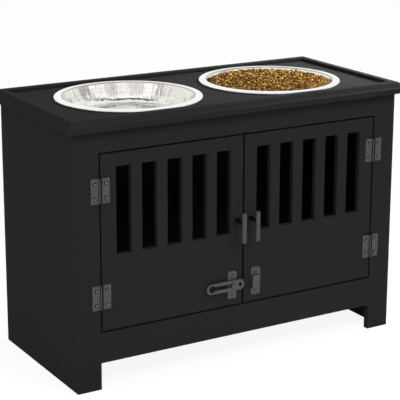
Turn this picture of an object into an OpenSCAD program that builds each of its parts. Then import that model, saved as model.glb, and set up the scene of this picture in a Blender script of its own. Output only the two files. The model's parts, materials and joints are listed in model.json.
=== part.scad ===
// Elevated dog feeder: a low cabinet with two slotted doors, and two steel bowls let into its top.
// Millimetres. X runs across the front, Y from front to back, Z up from the floor.
// The origin is on the floor, under the middle of the whole object.
// At rest the doors are shut and the latch bar is drawn back, so that each door can open by itself.

/* [Body] */
// Width of the carcass over its side panels
body_w = 560; // [540:1:900]
// Depth of the carcass from the face frame to the back
body_d = 252; // [244:1:420]
// Height of the carcass from the floor to the underside of the top
body_h = 388; // [310:1:600]
// Thickness of the side panels, rails behind the frame and bottom panel
panel_t = 12; // [9:0.5:18]
// Thickness of the face frame
frame_t = 10; // [9:0.5:18]
// Thickness of the back panel
back_t = 6; // [3:0.5:9]
// Side of the square cleats under the top board
cleat_s = 15; // [12:1:20]
// Height of the stop rail behind the top rail
stop_rail_h = 43; // [41:1:60]
// Height of the rail along the back of the carcass
rear_rail_h = 40; // [24:1:60]

/* [Face frame] */
// Width of each stile, which is also the width of its foot
stile_w = 38.5; // [30:0.5:60]
// Height of the top rail
top_rail_h = 33; // [26:1:35]
// Height of the apron under the doors
apron_h = 46; // [30:1:70]
// Height of the open gap under the apron
floor_gap = 41; // [20:1:80]

/* [Top] */
// Thickness of the top board
top_t = 12; // [9:0.5:18]
// Height of the raised rim above the top board
rim_h = 5; // [3:0.5:10]
// How far the rim laps over the edge of the top board
rim_lap = 8; // [4:0.5:10]
// Width of the flat of the rim outside the carcass
rim_flat = 2; // [0:0.5:4]
// How far the moulding stands out beyond the carcass at the front and sides
overhang = 13; // [8:0.5:25]
// Height of the upright band at the bottom of the moulding
band_h = 8.5; // [5:0.5:12]
// How far the back strip stands out behind the carcass
back_overhang = 5; // [3:0.5:12]

/* [Doors] */
// Gap between a door and the frame round it
door_gap = 2.5; // [1.5:0.1:4]
// Gap between the two doors
meeting_gap = 3; // [2:0.1:5]
// How much thinner a door is than the frame, which keeps it off its stops
stop_gap = 0.5; // [0.2:0.1:1]
// How far the stops lap behind the doors
stop_lap = 8; // [4:0.5:12]
// Number of upright slots in each door
slot_count = 5; // [1:1:5]
// Width of a slot
slot_w = 24; // [10:0.5:28]
// Height of a slot
slot_h = 130; // [40:1:150]
// Distance from one slot to the next
slot_pitch = 41.8; // [30:0.1:44]
// Distance from the meeting edge of a door to its first slot
slot_inset = 21.5; // [18:0.5:30]
// Distance from the top of a door to its slots
slot_drop = 20.5; // [15:0.5:40]

/* [Hinges] */
// Height of a hinge
hinge_h = 37; // [25:1:60]
// Reach of a hinge leaf from the hinge axis
leaf_w = 15; // [12:0.5:19]
// Thickness of a hinge leaf
leaf_t = 1.5; // [1:0.1:2]
// Radius of the hinge barrel
barrel_r = 2.4; // [2:0.1:3]
// Radius of the hinge pin
hinge_pin_r = 1.2; // [0.8:0.1:1.4]
// Number of knuckles in a hinge
knuckles = 5; // [3:2:7]
// Distance from the end of a door to the middle of a hinge
hinge_inset = 52.5; // [35:0.5:80]
// Distance from the hinge axis to the screws
hinge_screw_x = 8.8; // [7:0.1:10]
// Distance between the two screws of a leaf
hinge_screw_pitch = 22; // [14:0.5:40]

/* [Handles] */
// Radius of a handle bar
handle_r = 3.8; // [3:0.1:6]
// Length of a handle bar
handle_l = 46; // [30:1:90]
// Distance from the door to the middle of the bar
handle_out = 21; // [15:0.5:40]
// Distance from the middle of the gap between the doors to a handle
handle_x = 12; // [10:0.5:13]
// Height of the middle of a handle above the bottom of the door
handle_up = 126; // [110:1:200]
// How far the post stands above the middle of the bar
post_up = 7.5; // [0:0.5:12]
// Radius of a handle post
post_r = 3.25; // [2.8:0.05:3.5]
// How deep the post sits in the bar
post_seat = 2; // [1:0.5:3]
// Radius of a handle screw
handle_screw_r = 2; // [1.5:0.1:2]

/* [Latch] */
// Height of the latch above the bottom of the doors
latch_up = 32.5; // [28:0.5:60]
// Height of the two latch plates
latch_plate_h = 44; // [40:1:60]
// Width of the plate that carries the bar
latch_plate_w = 15.5; // [12:0.5:22]
// Thickness of the latch plates and of the keeper strap
latch_plate_t = 1.5; // [1:0.1:2]
// Distance from the middle of the gap to the stud
stud_x = 20; // [18:0.5:30]
// Distance from the middle of the gap to the middle of the keeper
keeper_x = 22; // [20:0.5:30]
// Width of the keeper plate
keeper_w = 17; // [14:0.5:22]
// Width of the raised strap on the keeper
strap_w = 12; // [8:0.5:12]
// Height of the flat bar
bar_h = 16.5; // [14:0.5:18]
// Thickness of the flat bar
bar_t = 2; // [1.5:0.1:3]
// Distance from the keyhole to the round end of the bar
bar_tail = 9.5; // [9:0.5:12]
// Distance from the keyhole to the tip of the bar
bar_reach = 57; // [55:0.5:70]
// Length of the pointed tip
bar_tip = 4; // [2:0.5:6]
// Radius of the round part of the keyhole
keyhole_r = 5.5; // [5:0.1:6]
// Radius of the hole for a padlock
padlock_r = 3; // [2.2:0.1:3.2]
// Distance from the tip to the padlock hole
padlock_back = 7.6; // [7:0.1:8]
// Radius of the stud where the bar slides on it
stud_r = 2.8; // [2:0.1:3]
// Radius of the head of the stud
stud_head_r = 4; // [3.5:0.1:4.5]

/* [Bowls] */
// Radius of a bowl over its rim
bowl_r = 112; // [90:1:113]
// Distance between the middles of the two bowls
bowl_pitch = 253; // [250:1:270]
// Width of the flat rim of a bowl
bowl_rim = 9.5; // [8:0.5:14]
// Depth from the top board down to the bottom of a bowl
bowl_depth = 26; // [25:1:60]
// Thickness of the steel sheet
sheet_t = 0.8; // [0.6:0.1:1.2]
// Lean of the bowl wall from upright, in degrees
wall_lean = 25; // [4:1:25]
// Radius of the round between wall and bottom
bottom_round = 20; // [8:1:20]
// Depth of the food below the top board, at the edge of the bowl
food_drop = 5; // [3:0.5:12]
// How much higher the food lies in the middle
food_crown = 3; // [0:0.5:4]

/* [Fixings] */
// Radius of a dowel
dowel_r = 3; // [2.5:0.5:3]
// Length of a dowel
dowel_l = 24; // [20:1:26]
// Radius of the shank of the small plate screws
plate_screw_r = 1.5; // [1:0.1:1.6]
// Length of the shank of the small plate screws
plate_screw_l = 8.5; // [6:0.5:8.5]
// Radius of the head of the small plate screws
plate_head_r = 2.6; // [2:0.1:2.8]
// Height of the head of the small plate screws
plate_head_h = 1.2; // [0.8:0.1:1.2]
// Radius of the shank of the carcass screws
wood_screw_r = 1.75; // [1.5:0.05:2]
// Length of the shank of the carcass screws
wood_screw_l = 22; // [20:1:23]

/* [Clearances] */
// Gap round a dowel or a screw in its hole
fixing_gap = 0.05; // [0.02:0.01:0.1]
// Gap round a pin or stud that turns
running_gap = 0.05; // [0.02:0.01:0.1]
// Gap between pieces that move past each other
moving_gap = 0.3; // [0.2:0.05:0.5]
// Room for the bar inside the strap of the keeper, above and below
strap_room = 0.8; // [0.5:0.1:1.5]
// Gap between a bowl and the hole in the top board
bowl_gap = 1.5; // [1:0.5:4]

/* [Hidden] */
$fn = 64;

paint = [0.13, 0.13, 0.135];
raw_board = [0.62, 0.52, 0.38];
hardware = [0.3, 0.3, 0.31];
steel = [0.85, 0.86, 0.87];

// Outline of the carcass and of the opening for the doors
half_w = body_w / 2;
open_x = half_w - stile_w;
open_low = floor_gap + apron_h;
open_high = body_h - top_rail_h;
inner_x = half_w - panel_t;
inner_back = body_d - back_t;

// The top: board, rim and mouldings
board_top = body_h + top_t;
rim_top = board_top + rim_h;

// Doors and their hinge axes
door_t = frame_t - stop_gap;
door_out = open_x - door_gap;
door_in = meeting_gap / 2;
door_low = open_low + door_gap;
door_high = open_high - door_gap;
axis_x = open_x - door_gap / 2;
hinge_zs = [door_low + hinge_inset, door_high - hinge_inset];
knuckle_l = hinge_h / knuckles;
pin_end = 0.5;

// Stops and panels inside
bottom_top = door_low + stop_lap;
stop_rail_low = body_h - stop_rail_h;

// Handles
handle_z = door_low + handle_up;
post_z = handle_z + post_up;
bar_end_chamfer = 0.8;
post_thread_l = 12;
thread_end_room = 1;
handle_head_r = 4.2;
handle_head_h = 2.5;

// Latch: places along Y are counted outwards from the face of the doors
latch_z = door_low + latch_up;
latch_screw_inset = 5.5;
latch_screw_z = latch_plate_h / 2 - latch_screw_inset;
plate_corner_r = 4;
stud_slack = 0.2;
room_over_screws = 0.4;
bar_back = latch_plate_t + plate_head_h + room_over_screws;
bar_front = bar_back + bar_t;
stud_top = bar_front + stud_slack;
stud_head_h = 1.5;
shoulder_width = 1.7;
shoulder_r = stud_r + shoulder_width;
rivet_r = 4;
rivet_t = 1;
rivet_pocket = stud_slack + rivet_t + moving_gap;
tip_flat = 2;
strap_in = bar_front + strap_room;
strap_out = strap_in + latch_plate_t;
strap_half = bar_h / 2 + strap_room;
strap_x = keeper_x - keeper_w / 2;
// The bar is drawn back at rest until its tip is over the middle of the gap between the doors
bar_travel = bar_reach - stud_x;
slot_end = bar_travel + stud_slack;

// Bowls
bowl_y = body_d / 2;
bowl_hole_r = bowl_r - bowl_rim + bowl_gap;
curl_r = 1.4;
curl_end = -45;
rim_fall = 5;
lip_r = 3;
bowl_lift = moving_gap;

// The frame's origin is under the middle of the whole object, from handles to back strip
front_reach = max(overhang, handle_out + handle_r, strap_out);
front_y = (front_reach - body_d - back_overhang) / 2;

// A little extra length where a cut runs past the face that it opens
past = 1;
// Facets of the round shapes that are wider than a hand
wide_fn = 128;

module in_place() translate([0, front_y, 0]) children();

module box(low, high) translate(low) cube(high - low);

// A board on one side of the middle: side is -1 or 1, and x counts outwards from the middle
module side_box(side, x, y, z)
    box([min(side * x[0], side * x[1]), y[0], z[0]], [max(side * x[0], side * x[1]), y[1], z[1]]);

// A cylinder along Y, from y0 to y1
module rod_y(x, y0, y1, z, r)
    translate([x, y0, z]) rotate([-90, 0, 0]) cylinder(r = r, h = y1 - y0);

// Each dowel is its middle and its direction. A bite is how deep it goes into the outer board.
side_bite = panel_t * 2 / 3;
function dowels_across(y, z) =
    [for (s = [-1, 1]) [[s * (inner_x + side_bite - dowel_l / 2), y, z], [0, 90, 0]]];
function dowels_frame(z) = [for (s = [-1, 1]) [[s * open_x, frame_t / 2, z], [0, 90, 0]]];
frame_bite = frame_t * 0.7;
function dowels_stile(z) =
    [for (s = [-1, 1])
        [[s * (half_w - panel_t / 2), frame_t - frame_bite + dowel_l / 2, z], [90, 0, 0]]];
rail_dowel = 8;
bottom_dowel_inset = 63;
DOWELS = concat(
    dowels_across(bottom_dowel_inset, bottom_top - panel_t / 2),
    dowels_across(body_d - bottom_dowel_inset, bottom_top - panel_t / 2),
    dowels_across(frame_t + panel_t / 2, body_h - stop_rail_h / 2),
    dowels_across(inner_back - panel_t / 2, body_h - rear_rail_h / 2),
    dowels_frame(floor_gap + apron_h / 2 - rail_dowel),
    dowels_frame(floor_gap + apron_h / 2 + rail_dowel),
    dowels_frame(body_h - top_rail_h / 2 - rail_dowel),
    dowels_frame(body_h - top_rail_h / 2 + rail_dowel),
    dowels_stile(floor_gap / 2),
    dowels_stile((open_low + open_high) / 2),
    dowels_stile(open_high)
);
module dowel_shapes(gap = 0) {
    for (d = DOWELS) translate(d[0]) rotate(d[1])
        cylinder(r = dowel_r + gap, h = dowel_l + 2 * gap, center = true);
}

// A round-head screw that points down -Z from the plane z = 0, with a cross recess
recess_w = 0.7;
recess_deep = 0.6;
recess_reach = 0.6;
module screw(shank_r, shank_l, head_r, head_h) {
    cap_r = (head_r * head_r + head_h * head_h) / (2 * head_h);
    arm = head_r * recess_reach;
    translate([0, 0, -shank_l]) cylinder(r = shank_r, h = shank_l + head_h / 2);
    difference() {
        intersection() {
            translate([0, 0, head_h - cap_r]) sphere(r = cap_r);
            cylinder(r = head_r, h = head_h + past);
        }
        for (a = [0, 90]) rotate([0, 0, a])
            translate([-arm, -recess_w / 2, head_h - recess_deep]) cube([2 * arm, recess_w, past]);
    }
}

// Places of the carcass screws: up through the cleats, out through the cleats, and in from the back.
// Each place is a share of the cleat's length, or of the way from the middle to a side panel.
up_screw_places = [0.15, 0.5, 0.85];
out_screw_places = [0.3, 0.7];
back_screw_places = [-0.8, -0.3, 0.3, 0.8];
cleat_front = frame_t + panel_t;
cleat_back = inner_back - panel_t;
cleat_len = cleat_back - cleat_front;
module at_cleat_screws() {
    for (s = [-1, 1]) {
        for (k = up_screw_places)
            translate([s * (inner_x - cleat_s / 2), cleat_front + cleat_len * k, body_h - cleat_s])
                rotate([180, 0, 0]) children();
        for (k = out_screw_places)
            translate([s * (inner_x - cleat_s), cleat_front + cleat_len * k, body_h - cleat_s / 2])
                rotate([0, -s * 90, 0]) children();
    }
}
module at_back_screws() {
    for (k = back_screw_places) for (z = [bottom_top - panel_t / 2, body_h - rear_rail_h / 2])
        translate([k * inner_x, body_d, z]) rotate([-90, 0, 0]) children();
}
wood_head_r = 3.4;
wood_head_h = 1.8;
module wood_screw() screw(wood_screw_r, wood_screw_l, wood_head_r, wood_head_h);
module wood_hole() translate([0, 0, -wood_screw_l - fixing_gap])
    cylinder(r = wood_screw_r + fixing_gap, h = wood_screw_l + fixing_gap + past);
short_screw_l = 16;
module back_screw() screw(wood_screw_r, short_screw_l, wood_head_r, wood_head_h);
module back_hole() translate([0, 0, -short_screw_l - fixing_gap])
    cylinder(r = wood_screw_r + fixing_gap, h = short_screw_l + fixing_gap + past);

// Places of the small screws in the hinges: side -1 or 1, and leaf 1 on the door or -1 on the frame
module at_hinge_screws(side, leaf) {
    for (z = hinge_zs) for (k = [-1, 1])
        translate([side * (axis_x - leaf * hinge_screw_x), -leaf_t, z + k * hinge_screw_pitch / 2])
            rotate([90, 0, 0]) children();
}
module at_latch_screws(x) {
    for (k = [-1, 1]) translate([x, -latch_plate_t, latch_z + k * latch_screw_z])
        rotate([90, 0, 0]) children();
}
module plate_screw() screw(plate_screw_r, plate_screw_l, plate_head_r, plate_head_h);
module plate_hole() translate([0, 0, -plate_screw_l - fixing_gap])
    cylinder(r = plate_screw_r + fixing_gap, h = plate_screw_l + fixing_gap + past);

// Carcass

module side_panel(side) difference() {
    side_box(side, [inner_x, half_w], [frame_t, body_d], [0, body_h]);
    dowel_shapes(fixing_gap);
    at_cleat_screws() wood_hole();
}
module side_panel_left() color(paint) side_panel(-1);
module side_panel_right() color(paint) side_panel(1);

module stile(side) difference() {
    side_box(side, [open_x, half_w], [0, frame_t], [0, body_h]);
    dowel_shapes(fixing_gap);
    at_hinge_screws(side, -1) plate_hole();
}
module stile_left() color(paint) stile(-1);
module stile_right() color(paint) stile(1);

module top_rail() color(paint) difference() {
    box([-open_x, 0, open_high], [open_x, frame_t, body_h]);
    dowel_shapes(fixing_gap);
}
module apron() color(paint) difference() {
    box([-open_x, 0, floor_gap], [open_x, frame_t, open_low]);
    dowel_shapes(fixing_gap);
}
module back_panel() color(paint) difference() {
    box([-inner_x, inner_back, bottom_top - panel_t], [inner_x, body_d, body_h]);
    at_back_screws() back_hole();
}
module bottom_panel() color(paint) difference() {
    box([-inner_x, frame_t, bottom_top - panel_t], [inner_x, inner_back, bottom_top]);
    dowel_shapes(fixing_gap);
    at_back_screws() back_hole();
}
module stop_rail() color(raw_board) difference() {
    box([-inner_x, frame_t, stop_rail_low], [inner_x, frame_t + panel_t, body_h]);
    dowel_shapes(fixing_gap);
}
module rear_rail() color(raw_board) difference() {
    box([-inner_x, inner_back - panel_t, body_h - rear_rail_h], [inner_x, inner_back, body_h]);
    dowel_shapes(fixing_gap);
    at_back_screws() back_hole();
}
module cleat(side) difference() {
    side_box(side, [inner_x - cleat_s, inner_x], [cleat_front, cleat_back], [body_h - cleat_s, body_h]);
    at_cleat_screws() wood_hole();
}
module cleat_left() color(raw_board) cleat(-1);
module cleat_right() color(raw_board) cleat(1);
module dowels() color(raw_board) dowel_shapes();
module cleat_screws() color(hardware) at_cleat_screws() wood_screw();
module back_screws() color(hardware) at_back_screws() back_screw();

// Top

module top_board() color(paint) difference() {
    box([-half_w, 0, body_h], [half_w, body_d, board_top]);
    for (s = [-1, 1]) translate([s * bowl_pitch / 2, bowl_y, body_h - past])
        cylinder(r = bowl_hole_r, h = top_t + 2 * past, $fn = wide_fn);
    at_cleat_screws() wood_hole();
}

// Section of a moulding: the first number is the distance out from the carcass, the second the
// height above it. An S-shaped slope falls from the flat of the rim to a small ledge on the band.
ogee_steps = 8;
band_ledge = 1;
moulding_h = top_t + rim_h;
ogee = [for (i = [0 : ogee_steps])
    let (k = i / ogee_steps)
    [rim_flat + (overhang - band_ledge - rim_flat) * k,
     band_h + (moulding_h - band_h) * (1 + cos(180 * k)) / 2]];
moulding_section = concat(
    [[0, 0], [0, top_t], [-rim_lap, top_t], [-rim_lap, moulding_h]],
    ogee,
    [[overhang, band_h], [overhang, 0]]
);
// The section stands in the XZ plane, facing +X, and is drawn out along +Y from y0 to y1
module moulding_run(y0, y1) translate([0, y1, 0]) rotate([90, 0, 0])
    linear_extrude(height = y1 - y0) polygon(moulding_section);
module plan(points) translate([0, 0, body_h - past])
    linear_extrude(height = moulding_h + 2 * past) polygon(points);

module moulding_front() color(paint) intersection() {
    translate([0, 0, body_h]) rotate([0, 0, -90]) moulding_run(-half_w - overhang, half_w + overhang);
    plan([[-half_w - overhang, -overhang], [half_w + overhang, -overhang],
          [half_w - rim_lap, rim_lap], [rim_lap - half_w, rim_lap]]);
}
module moulding_side() intersection() {
    translate([half_w, 0, body_h]) moulding_run(-overhang, body_d + back_overhang);
    plan([[half_w + overhang, -overhang], [half_w + overhang, body_d + back_overhang],
          [half_w - rim_lap, body_d + back_overhang], [half_w - rim_lap, rim_lap]]);
}
module moulding_right() color(paint) moulding_side();
module moulding_left() color(paint) mirror([1, 0, 0]) moulding_side();
module moulding_back() color(paint) {
    box([-half_w, body_d, body_h], [half_w, body_d + back_overhang, board_top]);
    box([rim_lap - half_w, body_d - rim_lap, board_top],
        [half_w - rim_lap, body_d + back_overhang, rim_top]);
}

// Hinges: the frame leaf has the odd knuckles and the door leaf the even ones

module hinge_leaf(side, leaf, z) translate([side * axis_x, -barrel_r, z - hinge_h / 2]) {
    out = -leaf * side;
    own = leaf < 0 ? 0 : 1;
    difference() {
        union() {
            translate([out > 0 ? 0 : -leaf_w, barrel_r - leaf_t, 0]) cube([leaf_w, leaf_t, hinge_h]);
            for (k = [own : 2 : knuckles - 1]) translate([0, 0, k * knuckle_l + moving_gap / 2])
                cylinder(r = barrel_r, h = knuckle_l - moving_gap);
        }
        for (k = [1 - own : 2 : knuckles - 1]) translate([0, 0, k * knuckle_l - moving_gap / 2])
            translate([-barrel_r - moving_gap, -barrel_r - moving_gap, 0])
                cube([2 * (barrel_r + moving_gap), 2 * barrel_r + 2 * moving_gap, knuckle_l + moving_gap]);
        translate([0, 0, -past]) cylinder(r = hinge_pin_r + running_gap, h = hinge_h + 2 * past);
        for (k = [-1, 1]) translate([out * hinge_screw_x, barrel_r - leaf_t - past,
                                     hinge_h / 2 + k * hinge_screw_pitch / 2])
            rotate([-90, 0, 0]) cylinder(r = plate_screw_r + fixing_gap, h = leaf_t + 2 * past);
    }
}
module hinge_leaf_frame_left_upper() color(hardware) hinge_leaf(-1, -1, hinge_zs[1]);
module hinge_leaf_frame_left_lower() color(hardware) hinge_leaf(-1, -1, hinge_zs[0]);
module hinge_leaf_frame_right_upper() color(hardware) hinge_leaf(1, -1, hinge_zs[1]);
module hinge_leaf_frame_right_lower() color(hardware) hinge_leaf(1, -1, hinge_zs[0]);
module hinge_leaf_door_left_upper() color(hardware) hinge_leaf(-1, 1, hinge_zs[1]);
module hinge_leaf_door_left_lower() color(hardware) hinge_leaf(-1, 1, hinge_zs[0]);
module hinge_leaf_door_right_upper() color(hardware) hinge_leaf(1, 1, hinge_zs[1]);
module hinge_leaf_door_right_lower() color(hardware) hinge_leaf(1, 1, hinge_zs[0]);
module hinge_pins() color(hardware) for (s = [-1, 1]) for (z = hinge_zs)
    translate([s * axis_x, -barrel_r, z - hinge_h / 2 - pin_end])
        cylinder(r = hinge_pin_r, h = hinge_h + 2 * pin_end);
module frame_hinge_screws() color(hardware) for (s = [-1, 1]) at_hinge_screws(s, -1) plate_screw();
module left_door_hinge_screws() color(hardware) at_hinge_screws(-1, 1) plate_screw();
module right_door_hinge_screws() color(hardware) at_hinge_screws(1, 1) plate_screw();

// Doors

module door(side) difference() {
    side_box(side, [door_in, door_out], [0, door_t], [door_low, door_high]);
    for (i = [0 : slot_count - 1])
        translate([side * (door_in + slot_inset + slot_w / 2 + i * slot_pitch) - slot_w / 2, -past,
                   door_high - slot_drop - slot_h])
            cube([slot_w, door_t + 2 * past, slot_h]);
    at_hinge_screws(side, 1) plate_hole();
    at_latch_screws(side < 0 ? -stud_x : keeper_x) plate_hole();
    rod_y(side * handle_x, -past, door_t + past, post_z, handle_screw_r + fixing_gap);
}
module door_left() color(paint) difference() {
    door(-1);
    rod_y(-stud_x, -past, rivet_pocket, latch_z, rivet_r + moving_gap);
}
module door_right() color(paint) door(1);

// Handles

module handle_bar(side) {
    low = handle_z - handle_l / 2;
    difference() {
        translate([side * handle_x, -handle_out, low]) {
            cylinder(r1 = handle_r - bar_end_chamfer, r2 = handle_r, h = bar_end_chamfer);
            translate([0, 0, bar_end_chamfer]) cylinder(r = handle_r, h = handle_l - 2 * bar_end_chamfer);
            translate([0, 0, handle_l - bar_end_chamfer])
                cylinder(r1 = handle_r, r2 = handle_r - bar_end_chamfer, h = bar_end_chamfer);
        }
        rod_y(side * handle_x, -handle_out + handle_r - post_seat, 0, post_z, post_r + fixing_gap);
    }
}
module handle_post(side) difference() {
    rod_y(side * handle_x, -handle_out + handle_r - post_seat + fixing_gap, 0, post_z, post_r);
    rod_y(side * handle_x, -post_thread_l, past, post_z, handle_screw_r + fixing_gap);
}
module handle_screw(side) translate([side * handle_x, door_t, post_z]) rotate([-90, 0, 0])
    screw(handle_screw_r, door_t + post_thread_l - thread_end_room, handle_head_r, handle_head_h);
module handle_bar_left() color(hardware) handle_bar(-1);
module handle_bar_right() color(hardware) handle_bar(1);
module handle_post_left() color(hardware) handle_post(-1);
module handle_post_right() color(hardware) handle_post(1);
module handle_screw_left() color(hardware) handle_screw(-1);
module handle_screw_right() color(hardware) handle_screw(1);

// Latch

module rounded_plate(w, h, t) translate([0, 0, latch_z]) rotate([90, 0, 0]) linear_extrude(height = t) {
    square([w, h - 2 * plate_corner_r], center = true);
    square([w - 2 * plate_corner_r, h], center = true);
    for (i = [-1, 1]) for (k = [-1, 1])
        translate([i * (w / 2 - plate_corner_r), k * (h / 2 - plate_corner_r)]) circle(r = plate_corner_r);
}
module latch_plate() color(hardware) difference() {
    translate([-stud_x, 0, 0]) rounded_plate(latch_plate_w, latch_plate_h, latch_plate_t);
    at_latch_screws(-stud_x) plate_hole();
    rod_y(-stud_x, -latch_plate_t - past, past, latch_z, stud_r + running_gap);
}
module latch_plate_screws() color(hardware) at_latch_screws(-stud_x) plate_screw();

// A headed rivet, free to turn in the plate: tail, neck, shoulder and head
module latch_stud() color(hardware) {
    rod_y(-stud_x, stud_slack, stud_slack + rivet_t, latch_z, rivet_r);
    rod_y(-stud_x, -stud_top, stud_slack, latch_z, stud_r);
    rod_y(-stud_x, -bar_back + stud_slack, -latch_plate_t - stud_slack, latch_z, shoulder_r);
    rod_y(-stud_x, -stud_top - stud_head_h, -stud_top, latch_z, stud_head_r);
}

// The bar lies flat against the stud's shoulder, drawn back to the left by its whole travel
module latch_bar() color(hardware) translate([-stud_x - bar_travel, -bar_back, latch_z]) rotate([90, 0, 0])
    linear_extrude(height = bar_t) difference() {
        tail_x = bar_h / 2 - bar_tail;
        union() {
            translate([tail_x, 0]) circle(r = bar_h / 2);
            polygon([[tail_x, -bar_h / 2], [bar_reach - bar_tip, -bar_h / 2], [bar_reach, -tip_flat / 2],
                     [bar_reach, tip_flat / 2], [bar_reach - bar_tip, bar_h / 2], [tail_x, bar_h / 2]]);
        }
        circle(r = keyhole_r);
        translate([0, -stud_r - stud_slack]) square([slot_end, 2 * (stud_r + stud_slack)]);
        translate([slot_end, 0]) circle(r = stud_r + stud_slack);
        translate([bar_reach - padlock_back, 0]) circle(r = padlock_r);
    }
module latch_keeper() color(hardware) difference() {
    union() {
        translate([keeper_x, 0, 0]) rounded_plate(keeper_w, latch_plate_h, latch_plate_t);
        for (k = [-1, 1])
            box([strap_x, -strap_out, latch_z + (k < 0 ? -strap_half - latch_plate_t : strap_half)],
                [strap_x + strap_w, 0, latch_z + (k < 0 ? -strap_half : strap_half + latch_plate_t)]);
        box([strap_x, -strap_out, latch_z - strap_half - latch_plate_t],
            [strap_x + strap_w, -strap_in, latch_z + strap_half + latch_plate_t]);
    }
    at_latch_screws(keeper_x) plate_hole();
}
module latch_keeper_screws() color(hardware) at_latch_screws(keeper_x) plate_screw();

// Bowls: the path of the sheet from the middle of the bottom out to the curled edge,
// moved by off towards the inside of the bowl. r is the radius, h the height above the top board.
arc_steps = 6;
function arc(c, r, a0, a1, n) =
    [for (i = [0 : n]) let (a = a0 + (a1 - a0) * i / n) c + r * [cos(a), sin(a)]];
curl_c = [bowl_r - curl_r - sheet_t / 2, bowl_lift - (curl_r + sheet_t / 2) * sin(curl_end)];
rim_start = curl_c + curl_r * [cos(90 - rim_fall), sin(90 - rim_fall)];
lip_c_r = bowl_r - bowl_rim;
lip_c = [lip_c_r, rim_start[1] + (rim_start[0] - lip_c_r) * tan(rim_fall) - lip_r];
wall_top = lip_c + lip_r * [cos(180 - wall_lean), sin(180 - wall_lean)];
round_h = bottom_round - bowl_depth;
wall_low_h = round_h - bottom_round * sin(wall_lean);
wall_low_r = wall_top[0] - (wall_top[1] - wall_low_h) * tan(wall_lean);
round_c = [wall_low_r - bottom_round * cos(wall_lean), round_h];
function bowl_path(off) = concat(
    [[0, off - bowl_depth]],
    arc(round_c, bottom_round - off, -90, -wall_lean, arc_steps),
    arc(lip_c, lip_r + off, 180 - wall_lean, 90 - rim_fall, arc_steps),
    arc(curl_c, curl_r + off, 90 - rim_fall, curl_end, arc_steps)
);
function turned(points) = [for (i = [len(points) - 1 : -1 : 0]) points[i]];
module bowl(side) translate([side * bowl_pitch / 2, bowl_y, board_top])
    rotate_extrude($fn = wide_fn) polygon(concat(bowl_path(sheet_t / 2), turned(bowl_path(-sheet_t / 2))));
module bowl_left() color(steel) bowl(-1);
module bowl_right() color(steel) bowl(1);

// The food fills the right bowl up to a low crown
food_off = sheet_t / 2 + moving_gap;
food_r = wall_top[0] - (wall_top[1] + food_drop) * tan(wall_lean) - food_off / cos(wall_lean);
food_outline = concat(
    [[0, food_off - bowl_depth]],
    arc(round_c, bottom_round - food_off, -90, -wall_lean, arc_steps),
    [for (i = [0 : arc_steps]) let (k = i / arc_steps)
        [food_r * (1 - k), food_crown * (1 - (1 - k) * (1 - k)) - food_drop]]
);
module food_fill() color([0.6, 0.42, 0.2]) translate([bowl_pitch / 2, bowl_y, board_top])
    rotate_extrude($fn = wide_fn) polygon(food_outline);

in_place() side_panel_left();
in_place() side_panel_right();
in_place() stile_left();
in_place() stile_right();
in_place() top_rail();
in_place() apron();
in_place() back_panel();
in_place() bottom_panel();
in_place() stop_rail();
in_place() rear_rail();
in_place() cleat_left();
in_place() cleat_right();
in_place() top_board();
in_place() moulding_front();
in_place() moulding_left();
in_place() moulding_right();
in_place() moulding_back();
in_place() dowels();
in_place() cleat_screws();
in_place() back_screws();
in_place() hinge_leaf_frame_left_upper();
in_place() hinge_leaf_frame_left_lower();
in_place() hinge_leaf_frame_right_upper();
in_place() hinge_leaf_frame_right_lower();
in_place() hinge_pins();
in_place() frame_hinge_screws();
in_place() door_left();
in_place() hinge_leaf_door_left_upper();
in_place() hinge_leaf_door_left_lower();
in_place() left_door_hinge_screws();
in_place() handle_bar_left();
in_place() handle_post_left();
in_place() handle_screw_left();
in_place() latch_plate();
in_place() latch_plate_screws();
in_place() latch_stud();
in_place() latch_bar();
in_place() door_right();
in_place() hinge_leaf_door_right_upper();
in_place() hinge_leaf_door_right_lower();
in_place() right_door_hinge_screws();
in_place() handle_bar_right();
in_place() handle_post_right();
in_place() handle_screw_right();
in_place() latch_keeper();
in_place() latch_keeper_screws();
in_place() bowl_left();
in_place() bowl_right();
in_place() food_fill();
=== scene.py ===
# %% [markdown]
# An elevated dog feeder with storage: a low black cabinet with two slotted doors, and two steel
# bowls let into its top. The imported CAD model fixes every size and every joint. This script gives
# each of its pieces the rounded edges and the finish of the real one, fills a bowl with dry food,
# and sets up a plain studio with the camera where the photographer stood.
# All lengths are in metres, in the same frame as the CAD model.

import json
import math
import random

import bmesh
import bpy
import numpy as np
from mathutils import Matrix, Quaternion, Vector


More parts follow.
